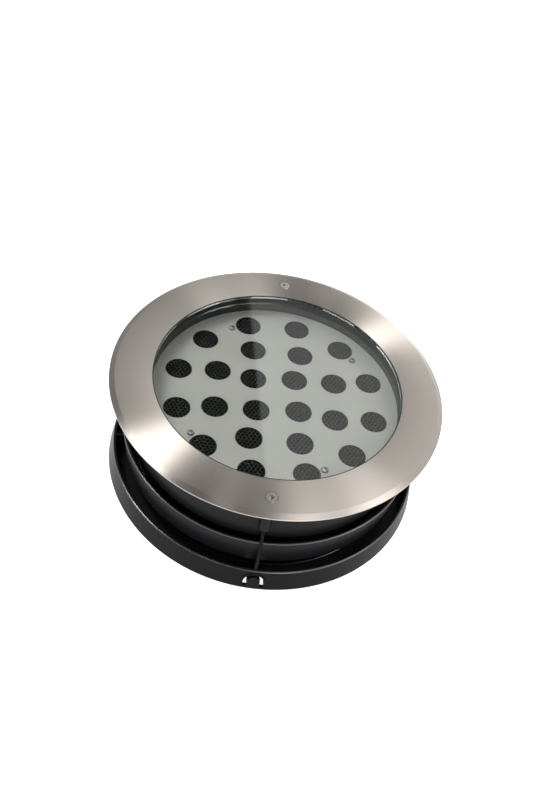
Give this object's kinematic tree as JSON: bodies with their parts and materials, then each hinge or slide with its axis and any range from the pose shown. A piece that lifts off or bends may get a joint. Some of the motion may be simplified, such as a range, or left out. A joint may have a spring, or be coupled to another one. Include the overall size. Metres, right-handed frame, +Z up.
{
  "type": "in-ground well light",
  "caption": "Round recessed ground light: stainless trim ring and clear glass over a perforated panel of honeycomb optics, standing in a stepped black plastic sleeve.",
  "frame": {"origin": "middle of the sleeve's foot, on the plane it stands on", "axes": "+Z up along the axis of the lamp; -Y towards the first ring screw, the tall gusset and its arched tie slot"},
  "size_m": [0.26, 0.26, 0.0966],
  "materials": {
    "sleeve_plastic": "moulded black plastic, satin",
    "brass": "turned brass",
    "foam_rubber": "closed-cell foam rubber",
    "brushed_stainless": "circular brushed stainless steel, satin",
    "stainless_fastener": "bright stainless steel",
    "clear_glass": "clear tempered glass, faint green edge",
    "silicone": "dark grey silicone",
    "die_cast_body": "die-cast aluminium, dark grey powder coat",
    "silver_panel": "satin silver-grey painted sheet",
    "black_louvre": "matt black moulded plastic",
    "optical_clear": "clear moulded acrylic",
    "emitter": "yellow phosphor on white ceramic",
    "board_white": "white solder mask on an aluminium board",
    "pad_grey": "grey heat-conducting pad",
    "connector_white": "white moulded nylon",
    "rubber_black": "black rubber",
    "wire_red": "red insulated wire",
    "driver_case": "dark moulded plastic",
    "terminal_steel": "plated steel",
    "nylon_black": "black nylon"
  },
  "bodies": {
    "sleeve": {"sleeve": "sleeve_plastic", "sleeve_inserts": "brass"},
    "lamp_unit": {"panel_standoffs": "brass", "seat_gasket": "foam_rubber", "trim_ring": "brushed_stainless", "ring_screws": "stainless_fastener", "trim_studs": "stainless_fastener", "stud_washers": "stainless_fastener", "stud_nuts": "stainless_fastener", "panel_screws": "stainless_fastener", "board_screws": "stainless_fastener", "driver_screws": "stainless_fastener", "cover_screws": "stainless_fastener", "glass": "clear_glass", "glass_gasket": "silicone", "cover_gasket": "silicone", "lamp_body": "die_cast_body", "body_cover": "die_cast_body", "shield_panel": "silver_panel", "honeycomb_louvres": "black_louvre", "lens_holders": "black_louvre", "collimator_lenses": "optical_clear", "led_emitters": "emitter", "led_board": "board_white", "thermal_pad": "pad_grey", "board_connector": "connector_white", "lead_grommet": "rubber_black", "gland_seal": "rubber_black", "gland_washer": "rubber_black", "led_leads": "wire_red", "input_leads": "wire_red", "driver_module": "driver_case", "terminal_block": "driver_case", "terminal_screws": "terminal_steel", "gland_body": "nylon_black", "gland_locknut": "nylon_black", "gland_cap": "nylon_black", "breather_vent": "nylon_black"}
  },
  "joints": [
    {"name": "lamp_lift", "type": "slide", "parent": "sleeve", "child": "lamp_unit", "axis": [0, 0, 1], "range_m": [0, 0.1]}
  ]
}
